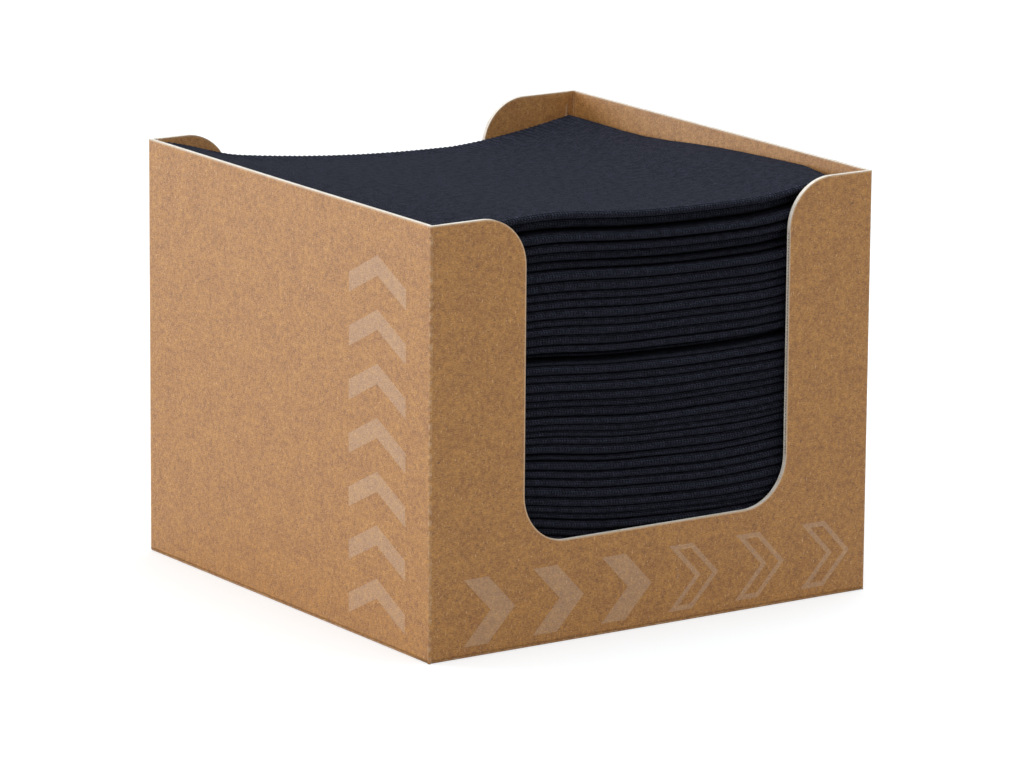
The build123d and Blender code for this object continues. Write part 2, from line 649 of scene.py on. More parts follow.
@dataclass(frozen=True)
class KraftCutAndHighlight:
    """Cut edge of the board's plies: torn fibre ends, paler than the faces, lifted almost to white as
    painted highlight.

    Attributes:
        name: The material's name.
        deep: Darkest tone.
        pale: Lightest tone, near white: pale torn fibre, raised further as painted highlight.
    """

    name: str = "kraft_cut_and_highlight"
    # Near-white tones: pale torn fibre, lifted further as painted highlight where the window edges
    # catch little lamp light.
    deep: Colour = (0.68, 0.58, 0.47, 1.0)
    pale: Colour = (0.95, 0.90, 0.83, 1.0)

    def material(self) -> bpy.types.Material:
        """Build the material.

        Returns:
            The material.
        """
        material, nodes, shader = start_material(self.name)
        place = nodes.add("ShaderNodeTexCoord").outputs["Object"]
        torn = nodes.noise(place, 2600.0, 4.0, 0.7)
        patch = nodes.noise(place, 380.0, 3.0, 0.6)
        blend = nodes.math("ADD", nodes.math("MULTIPLY", nodes.ramp(torn, 0.3, 0.7), 0.6),
                           nodes.math("MULTIPLY", nodes.ramp(patch, 0.35, 0.65), 0.4))
        nodes.join(nodes.mix(blend, self.deep, self.pale), shader.inputs["Base Color"])
        nodes.join(nodes.ramp(torn, 0.0, 1.0, 0.75, 0.95), shader.inputs["Roughness"])
        shader.inputs["Specular IOR Level"].default_value = 0.25
        nodes.join(raise_bump(nodes, torn, 0.12 * MM), shader.inputs["Normal"])
        return material


@dataclass(frozen=True)
class AirlaidFace:
    """Soft dyed airlaid web with a fine pressed grid whose grooves are painted near black as painted
    shade, a cool sheen and a little pale lint.

    Attributes:
        name: The material's name.
        deep: Darkest tone, also painted into the grooves as painted shade.
        pale: Lightest tone.
        lint: Specks on it.
        sheen: Tint of the fibres' sheen.
        grid: From one pressed groove to the next.
        relief: Height of the pressed squares.
    """

    name: str = "airlaid_face"
    deep: Colour = (0.0022, 0.0024, 0.0036, 1.0)
    pale: Colour = (0.0700, 0.0740, 0.1120, 1.0)
    lint: Colour = (0.16, 0.17, 0.19, 1.0)
    sheen: Colour = (0.62, 0.72, 1.0, 1.0)
    grid: float = 1.3 * MM
    relief: float = 0.6 * MM

    def material(self) -> bpy.types.Material:
        """Build the material.

        Returns:
            The material.
        """
        material, nodes, shader = start_material(self.name)
        place = flat_place(nodes)
        web = nodes.group(GridEmboss().tree(), Vector=place, Period=self.grid).outputs
        cloud = nodes.noise(place, 300.0, 4.0, 0.7)
        tone = nodes.math("ADD", nodes.math("MULTIPLY", nodes.ramp(cloud, 0.35, 0.65), 0.35),
                          nodes.math("MULTIPLY", nodes.ramp(web["Fuzz"], 0.36, 0.64), 0.65))
        colour = nodes.mix(tone, self.deep, self.pale)
        # Painted shade: the pressed grooves are darkened almost to black.
        colour = nodes.mix(nodes.math("MULTIPLY", web["Groove"], 0.9), colour, self.deep)
        colour = nodes.mix(nodes.math("MULTIPLY", web["Lint"], 0.55), colour, self.lint)
        nodes.join(colour, shader.inputs["Base Color"])
        nodes.join(nodes.ramp(web["Fuzz"], 0.0, 1.0, 0.82, 0.98), shader.inputs["Roughness"])
        shader.inputs["Specular IOR Level"].default_value = 0.05
        shader.inputs["Sheen Weight"].default_value = 0.02
        shader.inputs["Sheen Roughness"].default_value = 0.5
        shader.inputs["Sheen Tint"].default_value = self.sheen
        nodes.join(raise_bump(nodes, web["Height"], self.relief), shader.inputs["Normal"])
        return material


@dataclass(frozen=True)
class StudioFloor:
    """Plain pale floor, lit a little from within so that shadows on it stay faint.

    Attributes:
        name: The material's name.
        shade: Its colour.
        glow: Light that it gives to the camera alone.
    """

    name: str = "studio_floor"
    shade: Colour = (0.62, 0.62, 0.62, 1.0)
    glow: float = 0.5

    def material(self) -> bpy.types.Material:
        """Build the material.

        Returns:
            The material.
        """
        material, nodes, shader = start_material(self.name)
        place = nodes.add("ShaderNodeTexCoord").outputs["Object"]
        rough = nodes.ramp(nodes.noise(place, 3.0, 3.0), 0.3, 0.7, 0.82, 0.9)
        nodes.join(rough, shader.inputs["Roughness"])
        shader.inputs["Base Color"].default_value = self.shade
        shader.inputs["Specular IOR Level"].default_value = 0.1
        shader.inputs["Emission Color"].default_value = (1.0, 1.0, 1.0, 1.0)
        seen = nodes.add("ShaderNodeLightPath").outputs["Is Camera Ray"]
        nodes.join(nodes.math("MULTIPLY", seen, self.glow), shader.inputs["Emission Strength"])
        return material


# ---------------------------------------------------------------------------------------------
# The board
# ---------------------------------------------------------------------------------------------


@dataclass
class FoldPath:
    """A line that runs straight and turns left through right angles, as the folded board does.

    The outer face follows the line, and depth is measured inwards, to its left. The bend gets
    sharper with depth, so the plies slide outwards a little beside it and settle back over a
    short length.

    Attributes:
        start: Where it starts.
        heading: Unit direction of its first run.
        runs: Length of each straight run.
        thickness: Thickness of what is folded.
        radius: Outside radius of the turns.
        inside: Radius on the inner face.
        settle: Length over which the plies settle back.
    """

    start: tuple[float, float]
    heading: tuple[float, float]
    runs: Sequence[float]
    thickness: float
    radius: float
    inside: float = 0.15 * MM
    settle: float = 6.0 * MM

    def joints(self) -> list[float]:
        """Distances along the line at which each run and each turn starts and ends."""
        marks = [0.0]
        for i, run in enumerate(self.runs):
            marks.append(marks[-1] + run)
            if i < len(self.runs) - 1:
                marks.append(marks[-1] + self.radius * math.pi / 2)
        return marks

    def frames(self) -> list[tuple[np.ndarray, np.ndarray, np.ndarray]]:
        """Start, direction and inward direction of each straight run."""
        place, ahead = np.array(self.start, float), np.array(self.heading, float)
        out = []
        for run in self.runs:
            left = np.array([-ahead[1], ahead[0]])
            out.append((place, ahead, left))
            place = place + ahead * (run + self.radius) + left * self.radius
            ahead = left
        return out

    def slack(self, depth: np.ndarray) -> np.ndarray:
        """How far the material at a depth has slid away from a turn."""
        sharpen = (self.radius - self.inside) / self.thickness
        return np.clip(depth, 0.0, None) * (1.0 - sharpen)

    def at(self, along: np.ndarray, depth: np.ndarray) -> np.ndarray:
        """Points at a distance along the line and a depth inside it.

        Args:
            along: Distances along the outer face.
            depth: Depths inwards from it.

        Returns:
            Points in the path's plane, shaped like along with a last axis of 2.
        """
        along, depth = np.broadcast_arrays(along, depth)
        slack = self.slack(depth)
        bend = self.radius - (np.clip(depth, 0.0, None) - slack)
        out = np.zeros(along.shape + (2,))
        marks = self.joints()
        for i, (place, ahead, left) in enumerate(self.frames()):
            run, low, high = self.runs[i], marks[2 * i], marks[2 * i + 1]
            first, last = i == 0, i == len(self.runs) - 1
            here = ((along >= low) | first) & ((along <= high) | last)
            step = (along - low)[here]
            shift = np.zeros_like(step)
            if not first:
                shift += 1.0 - smoothstep(0.0, self.settle, step)
            if not last:
                shift -= 1.0 - smoothstep(0.0, self.settle, run - step)
            step = (step + shift * slack[here])[:, None]
            out[here] = place + ahead * step + left * depth[here][:, None]
            if last:
                break
            turn = (along > high) & (along < marks[2 * i + 2])
            angle = ((along - high) / self.radius)[turn][:, None]
            slid = slack[turn][:, None]
            centre = place + ahead * (run - slid) + left * (self.radius + slid)
            reach = bend[turn][:, None]
            out[turn] = centre + reach * (ahead * np.sin(angle) - left * np.cos(angle))
        return out


class Ply(Enum):
    """The three papers that the board is glued from."""

    OUTER = "outer_liner"
    MEDIUM = "fluted_medium"
    INNER = "inner_liner"


PlyFaces = dict[Ply, bpy.types.Material]


@dataclass(frozen=True)
class Board:
    """Fine-flute corrugated board.

    Attributes:
        thickness: Of the whole board.
        liner: Thickness of each liner.
        medium: Thickness of the fluted paper.
        burr: How much thicker the knife has left the inner liner's cut edge.
        tooth: Depth of the openings that it has left beside the outer liner.
        pitch: From one flute crest to the next.
        samples: Mesh rows in one flute.
    """

    thickness: float = 1.8 * MM
    liner: float = 0.30 * MM
    medium: float = 0.13 * MM
    burr: float = 0.42 * MM
    tooth: float = 0.86 * MM
    pitch: float = FLUTE_PITCH
    samples: int = 12

    def depths(self, ply: Ply, across: np.ndarray, cut: np.ndarray, level: np.ndarray
               ) -> tuple[np.ndarray, np.ndarray]:
        """Depth of a ply's two faces.

        Args:
            ply: Which ply.
            across: Distance across the flutes.
            cut: How close each place is to a cut edge, from 0 to 1.
            level: The same for cut edges that run along the flutes.

        Returns:
            Depths of its outward and its inward face.
        """
        floor = self.thickness - self.liner - self.burr * cut
        if ply is Ply.OUTER:
            return np.zeros_like(across), self.liner + 0.1 * MM * level
        if ply is Ply.INNER:
            return floor, np.full_like(across, self.thickness)
        space = floor - self.liner
        swing = (space - self.medium) / 2
        turn = 2 * math.pi * across / self.pitch
        middle = self.liner + space / 2 + swing * np.cos(turn) * (1.0 - level)
        slope = swing * 2 * math.pi / self.pitch * np.sin(turn)
        half = self.medium / 2 * np.sqrt(1 + slope**2)
        half = half + (0.44 * space - half) * level
        crushed = cut * (1.0 - level)
        teeth = self.liner + self.tooth * (0.6 - 0.4 * np.cos(2 * turn))
        near, far = middle - half, middle + half
        return near + (teeth - near) * crushed, far + (floor - far) * crushed

    def flute_rows(self, low: float, high: float) -> np.ndarray:
        """Rows close enough together to draw the flutes."""
        step = self.pitch / self.samples
        return np.arange(low, high, step)


def merge_rows(rows: np.ndarray, fixed: Sequence[float], gap: float) -> np.ndarray:
    """Put fixed rows among others, and drop others that crowd them.

    Args:
        rows: Evenly spaced rows.
        fixed: Rows that must be there.
        gap: Closest that another row may come.

    Returns:
        All rows, in order.
    """
    fixed = np.unique(np.round(np.asarray(fixed), 7))
    free = [r for r in rows if np.min(np.abs(fixed - r)) > gap]
    return np.sort(np.concatenate([free, fixed]))


@dataclass(frozen=True)
class PaleLine:
    """A pale line painted on the paper: rubbing on some lines, painted highlight on folds and scores.

    Attributes:
        strength: Its value on the line.
        width: How far to each side it fades out.
    """

    strength: float
    width: float

    def mask(self, distance: np.ndarray) -> np.ndarray:
        """Its value at distances from the line."""
        return self.strength * (1.0 - smoothstep(0.0, self.width, distance))


@dataclass
class Block:
    """A run of grid columns that exists between two heights.

    Attributes:
        steps: Places of its columns from 0 to 1.
        low: Height at which it starts.
        high: Height at which it ends.
        first: Distance along the path of its first column, for a height.
        last: Distance along the path of its last column, for a height.
    """

    steps: np.ndarray
    low: float
    high: float
    first: Callable[[np.ndarray], np.ndarray]
    last: Callable[[np.ndarray], np.ndarray]


def fixed_at(value: float) -> Callable[[np.ndarray], np.ndarray]:
    """A column place that is the same at every height."""
    return lambda height: np.full_like(height, value)


@dataclass
class CartonTube:
    """The four walls and the glued tab: one board, folded round and cut with two windows.

    Attributes:
        board: What it is made of.
        fold: Outside radius of every fold.
        window_half: Half the window's width.
        window_sill: Height of the window's lower edge.
        window_radius: Radius of its corners.
        front_shift: How far past the front wall's middle its window is cut, round the blank.
        back_shift: The same for the back wall.
        seam_gap: How far the seam's cut edge stops short of the back wall's face.
        tab_width: Width of the tab.
        tab_taper: How much shorter the tab's free edge is at each end.
        scores: Pressed lines on the inside, before a fold and after it.
        score_depth: How much of the board's depth the scores press in.
        rubbed: Place of a faint rubbed line under the front window, from the window's middle.
        bow: How far the middle of a wall stands out.
        bow_shares: Each wall's share of it, in the blank's order.
        bow_top: How much of the bow's arch a wall's height takes up, in half turns.
        cut_zone: From a cut edge, where its crushing is full and where it ends.
        level_zone: The same from an edge that runs along the flutes.
        wear_width: How far from a cut edge the paper is scuffed.
        fold_rub_and_highlight: Rubbing and painted highlight on the folds; the others are painted
            highlight on the scores, and rubbing on the seam and on the line.
        fold_steps: Columns beside a fold, in millimetres from it.
        cut_steps: Columns beside a cut edge, in millimetres from it.
    """

    board: Board
    fold: float = 0.9 * MM
    window_half: float = 62.8 * MM
    window_sill: float = 41.0 * MM
    window_radius: float = 20.0 * MM
    front_shift: float = 1.7 * MM
    back_shift: float = 5.0 * MM
    seam_gap: float = 0.5 * MM
    tab_width: float = 30.0 * MM
    tab_taper: float = 8.0 * MM
    scores: tuple[float, float] = (1.9 * MM, 3.8 * MM)
    rubbed: float = 10.8 * MM
    bow: float = 0.4 * MM
    bow_shares: tuple[float, ...] = (1.0, 0.5, 0.8, 0.5)
    bow_top: float = 0.62
    score_depth: float = 0.12
    cut_zone: tuple[float, float] = (0.15 * MM, 0.8 * MM)
    level_zone: tuple[float, float] = (0.1 * MM, 0.6 * MM)
    wear_width: float = 1.1 * MM
    # Pale lines: rubbing with painted highlight on the folds, painted highlight on the scores,
    # rubbing on the seam and the line.
    fold_rub_and_highlight: PaleLine = PaleLine(0.42, 0.5 * MM)
    score_highlight: PaleLine = PaleLine(1.1, 0.5 * MM)
    seam_rub: PaleLine = PaleLine(0.45, 0.3 * MM)
    line_rub: PaleLine = PaleLine(0.5, 0.4 * MM)
    fold_steps: tuple[float, ...] = (0.0, 0.5, 1.1, 1.55, 1.9, 2.25, 3.45, 3.8, 4.15, 6.0)
    cut_steps: tuple[float, ...] = (0.0, 0.25, 0.5, 0.8, 1.3, 2.4, 4.7, 5.0, 5.3)

    def __post_init__(self) -> None:
        """Take the outside sizes from the CAD walls and lay out the path and the blocks."""
        low, high = CAD_BOX
        width, depth = high.x - low.x, high.y - low.y
        self.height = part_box("front_panel")[1].z
        thick, turn = self.board.thickness, self.fold
        self.path = FoldPath(
            start=(low.x, high.y - self.seam_gap),
            heading=(0.0, -1.0),
            runs=(
                depth - self.seam_gap - turn,
                width - 2 * turn,
                depth - 2 * turn,
                width - 2 * turn - thick,
                self.tab_width - turn,
            ),
            thickness=thick,
            radius=turn,
        )
        self.marks = self.path.joints()
        self.tab_low, self.tab_high = (corner.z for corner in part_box("glue_tab"))
        self.front_centre = self.marks[2] + width / 2 - turn
        self.windows = (self.front_centre + self.front_shift,
                        self.marks[6] + width / 2 - turn + self.back_shift)
        self.blocks = self._blocks()

    def edge(self, height: np.ndarray) -> np.ndarray:
        """Half width of the window at a height, its rounded corners included."""
        radius, sill = self.window_radius, self.window_sill
        low = np.clip(sill + radius - height, 0.0, radius)
        high = np.clip(height - (self.height - radius), 0.0, radius)
        inner = self.window_half - radius + np.sqrt(radius**2 - low**2)
        return inner + radius - np.sqrt(radius**2 - high**2)

    def _blocks(self) -> list[Block]:
        """Lay out the columns from the seam round to the tab's free edge.

        Returns:
            The blocks in order, each sharing a column with the next.
        """
        m, top = self.marks, self.height
        turn = np.linspace(0.0, 1.0, 9)
        blocks = [Block(self._steps(m[1], cut_first=True), self.fold, top, fixed_at(m[0]),
                        fixed_at(m[1]))]
        for number, middle in ((1, self.windows[0]), (3, self.windows[1])):
            start, end = m[2 * number], m[2 * number + 1]
            left = self._steps(middle - self.window_half - start, cut_first=True)
            right = self._steps(end - middle - self.window_half, cut_first=True)
            near, far = self._jamb(middle, -1.0), self._jamb(middle, 1.0)
            blocks += [
                Block(turn, 0.0, top, fixed_at(m[2 * number - 1]), fixed_at(start)),
                Block(1.0 - left[::-1], self.fold, top, fixed_at(start), near),
                Block(self._under_window(), self.fold, self.window_sill, near, far),
                Block(right, self.fold, top, far, fixed_at(end)),
            ]
            if number == 1:
                blocks += [
                    Block(turn, 0.0, top, fixed_at(m[3]), fixed_at(m[4])),
                    Block(self._steps(m[5] - m[4]), self.fold, top, fixed_at(m[4]),
                          fixed_at(m[5])),
                ]
        tab = np.linspace(0.0, 1.0, 5)
        blocks += [
            Block(turn, self.tab_low, self.tab_high, fixed_at(m[7]), fixed_at(m[8])),
            Block(tab, self.tab_low, self.tab_high, fixed_at(m[8]), fixed_at(m[9])),
        ]
        return blocks

    def _jamb(self, middle: float, side: float) -> Callable[[np.ndarray], np.ndarray]:
        """A column place that follows one side of the window whose middle is given."""
        return lambda height: middle + side * self.edge(height)

    def _under_window(self) -> np.ndarray:
        """Column places under a window, close together at the rubbed line."""
        span = self.window_half - self.window_radius
        line = (self.rubbed + np.array([-0.4, 0.0, 0.4]) * MM + span) / (2 * span)
        return merge_rows(np.linspace(0.0, 1.0, 15), [0.0, *line, 1.0], 0.01)

    def _steps(self, length: float, cut_first: bool = False) -> np.ndarray:
        """Column places over a wall: close at its folds or cut edge, even between.

        Args:
            length: The wall's length.
            cut_first: Whether the first end is a cut edge and not a fold.

        Returns:
            Places from 0 to 1.
        """
        fold, cut = np.array(self.fold_steps) * MM, np.array(self.cut_steps) * MM
        near = cut if cut_first else fold
        count = max(3, round(length / (12 * MM)))
        middle = np.linspace(near[-1], length - fold[-1], count)
        return np.concatenate([near[:-1], middle, length - fold[::-1][1:]]) / length

    def rows(self, ply: Ply) -> np.ndarray:
        """Heights of the grid's rows for one ply.

        Args:
            ply: Which ply.

        Returns:
            Heights, in order.
        """
        radius, sill, top = self.window_radius, self.window_sill, self.height
        quarter = np.linspace(0.0, math.pi / 2, 22)
        fixed = [0.0, self.fold, self.tab_low, self.tab_high, sill, top]
        close = np.array([0.2, 0.45, 0.8, 1.3, 2.4]) * MM
        foot = self.fold + np.array([1.0, 2.5, 4.0, 6.0]) * MM
        if ply is Ply.MEDIUM:
            return merge_rows(self.board.flute_rows(0.0, top), [*fixed, top - close[0]], 0.12 * MM)
        curved = np.concatenate([sill + radius * (1 - np.cos(quarter)),
                                 top - radius * (1 - np.sin(quarter))])
        even = np.linspace(self.fold, top, 26)
        return merge_rows(even, [*fixed, *foot, *(top - close), *(sill - close), *curved], 0.15 * MM)

    def grid(self, ply: Ply) -> SheetGrid:
        """Build one ply of the tube.

        Args:
            ply: Which ply.

        Returns:
            Its closed sheet.
        """
        rows = self.rows(ply)
        along, keep = [], []
        middle = (rows[1:] + rows[:-1]) / 2
        for number, block in enumerate(self.blocks):
            first, last = block.first(rows)[:, None], block.last(rows)[:, None]
            columns = first + (last - first) * block.steps[None, :]
            along.append(columns if number == 0 else columns[:, 1:])
            there = (middle > block.low) & (middle < block.high)
            keep.append(np.repeat(there[:, None], len(block.steps) - 1, axis=1))
        across = np.concatenate(along, axis=1)
        height = np.repeat(rows[:, None], across.shape[1], axis=1)
        near, over = self.cut_distance(across, height)
        cut = 1.0 - smoothstep(*self.cut_zone, near)
        level = 1.0 - smoothstep(*self.level_zone, over)
        outward, inward = self.board.depths(ply, height, cut, level)
        # The fold mask holds rubbing and painted highlight.
        masks = {WEAR: 1.0 - smoothstep(0.0, self.wear_width, near),
                 CREASE_RUB_AND_HIGHLIGHT: self.rubs_and_highlights(across, height, ply)}
        return SheetGrid(
            top=self.place(across, height, outward),
            under=self.place(across, height, inward),
            keep=np.concatenate(keep, axis=1),
            uv=np.stack([across, height], axis=-1),
            masks=masks,
        )

    def place(self, along: np.ndarray, height: np.ndarray, depth: np.ndarray) -> np.ndarray:
        """Fold points of the flat blank into the tube.

        Args:
            along: Distance round the blank.
            height: Height up the blank.
            depth: Depth into the board.

        Returns:
            Points in the frame.
        """
        pressed = depth * (1.0 - self.score_depth * self.score_band(along))
        shift = pressed - self.bulge(along, height)
        flat = self.path.at(along, shift)
        share = np.clip((along - self.marks[8]) / (self.marks[9] - self.marks[8]), 0.0, 1.0)
        centre = (self.tab_low + self.tab_high) / 2
        squeeze = 1.0 - share * 2 * self.tab_taper / (self.tab_high - self.tab_low)
        lifted = centre + (height - centre) * squeeze
        near_foot = 1.0 - smoothstep(self.fold, self.fold + self.path.settle, height)
        lifted = lifted + self.path.slack(depth) * near_foot * (along < self.marks[7])
        return np.concatenate([flat, lifted[..., None]], axis=-1)

    def _from_folds(self, along: np.ndarray) -> list[tuple[np.ndarray, np.ndarray]]:
        """Distance before and after each fold, negative on its other side."""
        return [(start - along, along - end)
                for start, end in zip(self.marks[1:-1:2], self.marks[2::2])]

    def score_band(self, along: np.ndarray) -> np.ndarray:
        """How far inside the pressed score beside a fold each place is, from 0 to 1."""
        band = np.zeros_like(along)
        for before, after in self._from_folds(along):
            outside = np.maximum(before - self.scores[0], after - self.scores[1])
            band = np.maximum(band, 1.0 - smoothstep(-0.35 * MM, 0.0, outside))
        return band

    def bulge(self, along: np.ndarray, height: np.ndarray) -> np.ndarray:
        """How far a wall stands out of its plane: nothing at the folds and the foot.

        Args:
            along: Distance round the blank.
            height: Height up the blank.

        Returns:
            Outward distances.
        """
        out = np.zeros_like(along)
        rise = np.sin(np.clip(height / self.height, 0.0, 1.0) * math.pi / 2)
        for wall, (start, end) in enumerate(zip(self.marks[0:8:2], self.marks[1:8:2])):
            share = np.clip((along - start) / (end - start), 0.0, 1.0)
            inside = (along > start) & (along < end)
            arch = np.sin(share * math.pi) ** 2 * np.sin(rise * math.pi * self.bow_top)
            amount = self.bow * self.bow_shares[wall]
            out = np.where(inside, amount * arch, out)
        return out

    def cut_distance(self, along: np.ndarray, height: np.ndarray
                     ) -> tuple[np.ndarray, np.ndarray]:
        """How far each place is from the nearest cut edge, and from one straight above it.

        Args:
            along: Distance round the blank.
            height: Height up the blank.

        Returns:
            The two distances.
        """
        radius, sill, top, half = self.window_radius, self.window_sill, self.height, self.window_half
        over = top - height
        near = np.minimum(over, np.abs(along - self.marks[0]))
        for middle in self.windows:
            beside = np.abs(along - middle)
            lower = np.hypot(np.clip(beside - half + radius, 0.0, None),
                             np.clip(sill + radius - height, 0.0, None)) - radius
            upper = radius - np.hypot(half + radius - beside, np.clip(height - top + radius, 0, None))
            flare = (beside < half + radius) & (height > top - radius)
            near = np.minimum(near, np.abs(lower))
            near = np.where(flare, np.minimum(near, np.abs(upper)), near)
            run = np.clip(beside - half + radius, 0.0, radius)
            arc = sill + radius - np.sqrt(radius**2 - run**2)
            below = (beside < half) & (height <= arc + 1e-7)
            over = np.where(below, np.minimum(over, arc - height), over)
            lean = np.clip(half + radius - beside, 0.0, radius)
            rim = top - radius + np.sqrt(radius**2 - lean**2)
            over = np.where(beside > half, np.minimum(over, rim - height), over)
        return np.clip(near, 0.0, None), np.clip(over, 0.0, None)

    def rubs_and_highlights(self, along: np.ndarray, height: np.ndarray, ply: Ply) -> np.ndarray:
        """Where the liner is painted paler: rubbing and painted highlight at the folds, painted
        highlight at the score's two edges, and rubbing at the seam and the line.

        Args:
            along: Distance round the blank.
            height: Height up the blank.
            ply: Which ply; only the inner liner shows the score's two edges.

        Returns:
            The mask.
        """
        mask = np.zeros_like(along)
        for before, after in self._from_folds(along):
            away = np.maximum(before, after)
            # Paler at the fold: rubbing, and painted highlight.
            mask = np.maximum(mask, self.fold_rub_and_highlight.mask(away))
            if ply is Ply.INNER:
                line = np.minimum(np.abs(before - self.scores[0]), np.abs(after - self.scores[1]))
                # Painted highlight on the score's two edges, where the pressed bead would catch the
                # light.
                mask = np.maximum(mask, self.score_highlight.mask(line))
        seam = np.abs(along - self.marks[0] - 5.0 * MM)
        mask = np.maximum(mask, self.seam_rub.mask(seam))
        line = np.abs(along - self.windows[0] - self.rubbed)
        under = (height < self.window_sill).astype(float)
        return np.maximum(mask, under * self.line_rub.mask(line))

    def build(self, faces: PlyFaces, cut: bpy.types.Material) -> None:
        """Build and dress the three plies.

        Args:
            faces: Finish of each ply's faces.
            cut: Finish of their cut edges.
        """
        walls = ("front_panel", "back_panel", "left_panel", "right_panel", "glue_tab")
        for ply in Ply:
            name = f"carton_{ply.value}"
            obj = new_object(name, self.grid(ply).build(name))
            dress_board(obj, faces[ply], cut)
            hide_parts(*walls)
            log.info("%s: %d faces", name, len(obj.data.polygons))


def dress_board(obj: bpy.types.Object, face: bpy.types.Material, cut: bpy.types.Material) -> None:
    """Give a board piece its finishes and its body.

    Args:
        obj: The piece.
        face: Finish of the paper's faces.
        cut: Finish of its cut edges.
    """
    obj.data.materials.append(face)
    obj.data.materials.append(cut)
    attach(obj, Body.CARTON.value)


class Wall(Enum):
    """The walls in the order of the blank, by the number of their run round it."""

    LEFT = 0
    FRONT = 1
    RIGHT = 2
    BACK = 3


@dataclass
class BottomFlap:
    """One bottom flap: the board turns under at the foot of its wall and runs inwards.

    Attributes:
        wall: The wall it is folded off.
        tube: The folded walls.
        taper: How much narrower it is at each side, once clear of its wall.
        climb: Where it leaves the floor for the flap under it, and where it has reached it.
        columns: Mesh columns from side to side.
        wear_width: How far from a cut edge the paper is scuffed.
        fold_rub_and_highlight: Rubbing and painted highlight on the fold.
    """

    wall: Wall
    tube: CartonTube
    taper: float = 9.0 * MM
    climb: tuple[float, float] = (3.0 * MM, 11.0 * MM)
    columns: int = 17
    wear_width: float = 1.2 * MM
    # Paler along the fold: rubbing, and painted highlight.
    fold_rub_and_highlight: PaleLine = PaleLine(0.42, 0.8 * MM)

    @property
    def node(self) -> str:
        """The CAD flap that it stands for."""
        return f"bottom_flap_{self.wall.name.lower()}"

    def grid(self, ply: Ply) -> SheetGrid:
        """Build one ply of the flap.

        Args:
            ply: Which ply.

        Returns:
            Its closed sheet.
        """
        tube, board = self.tube, self.tube.board
        low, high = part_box(self.node)
        place, ahead, left = tube.path.frames()[self.wall.value]
        corner = np.array([high.x, high.y] if left.sum() > 0 else [low.x, low.y])
        reach = float((corner - place) @ left)
        section = FoldPath(start=(0.0, tube.fold), heading=(0.0, -1.0), runs=(0.0, reach - tube.fold),
                           thickness=board.thickness, radius=tube.fold)
        length, turned = section.joints()[-1], section.joints()[2]
        if ply is Ply.MEDIUM:
            runs = merge_rows(board.flute_rows(turned, length), [turned, length], 0.12 * MM)
        else:
            runs = merge_rows(np.linspace(turned, length, 24), [turned, length - 0.5 * MM, length],
                              0.3 * MM)
        down = np.unique(np.round(np.concatenate([np.linspace(0.0, turned, 8), runs]), 7))[::-1]
        start, end = tube.marks[2 * self.wall.value: 2 * self.wall.value + 2]
        share = np.linspace(-1.0, 1.0, self.columns)
        run, part = np.meshgrid(down, share, indexing="ij")
        level = 1.0 - smoothstep(*tube.level_zone, length - run)
        outward, inward = board.depths(ply, tube.fold - run, level, level)
        faces = []
        for depth in (outward, inward):
            flat = section.at(run, depth)
            mitre = np.clip(flat[..., 0], 0.0, board.thickness + self.taper)
            along = (start + end) / 2 + part * ((end - start) / 2 - mitre)
            ground = place + ahead * (along - start)[..., None] + left * flat[..., :1]
            rise = (low.z - CAD_BOX[0].z) * smoothstep(*self.climb, flat[..., 0])
            height = flat[..., 1] + rise + CAD_BOX[0].z
            faces.append(np.concatenate([ground, height[..., None]], axis=-1))
        beside = (1.0 - np.abs(part)) * (end - start) / 2
        near = np.where(run > turned, np.minimum(length - run, beside), 1.0)
        # The fold mask here is the fold's rubbing and painted highlight.
        masks = {WEAR: 1.0 - smoothstep(0.0, self.wear_width, near),
                 CREASE_RUB_AND_HIGHLIGHT: self.fold_rub_and_highlight.mask(run - turned)}
        return SheetGrid(top=faces[0], under=faces[1],
                         keep=np.ones((len(down) - 1, self.columns - 1), bool),
                         uv=np.stack([along, tube.fold - run], axis=-1), masks=masks)

    def build(self, faces: PlyFaces, cut: bpy.types.Material) -> None:
        """Build and dress the flap's three plies.

        Args:
            faces: Finish of each ply's faces.
            cut: Finish of their cut edges.
        """
        for ply in Ply:
            name = f"{self.node}_{ply.value}"
            obj = new_object(name, self.grid(ply).build(name))
            dress_board(obj, faces[ply], cut)
            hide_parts(self.node)
            log.info("%s: %d faces", name, len(obj.data.polygons))


# ---------------------------------------------------------------------------------------------
# The print
# ---------------------------------------------------------------------------------------------

Outline = list[tuple[float, float]]


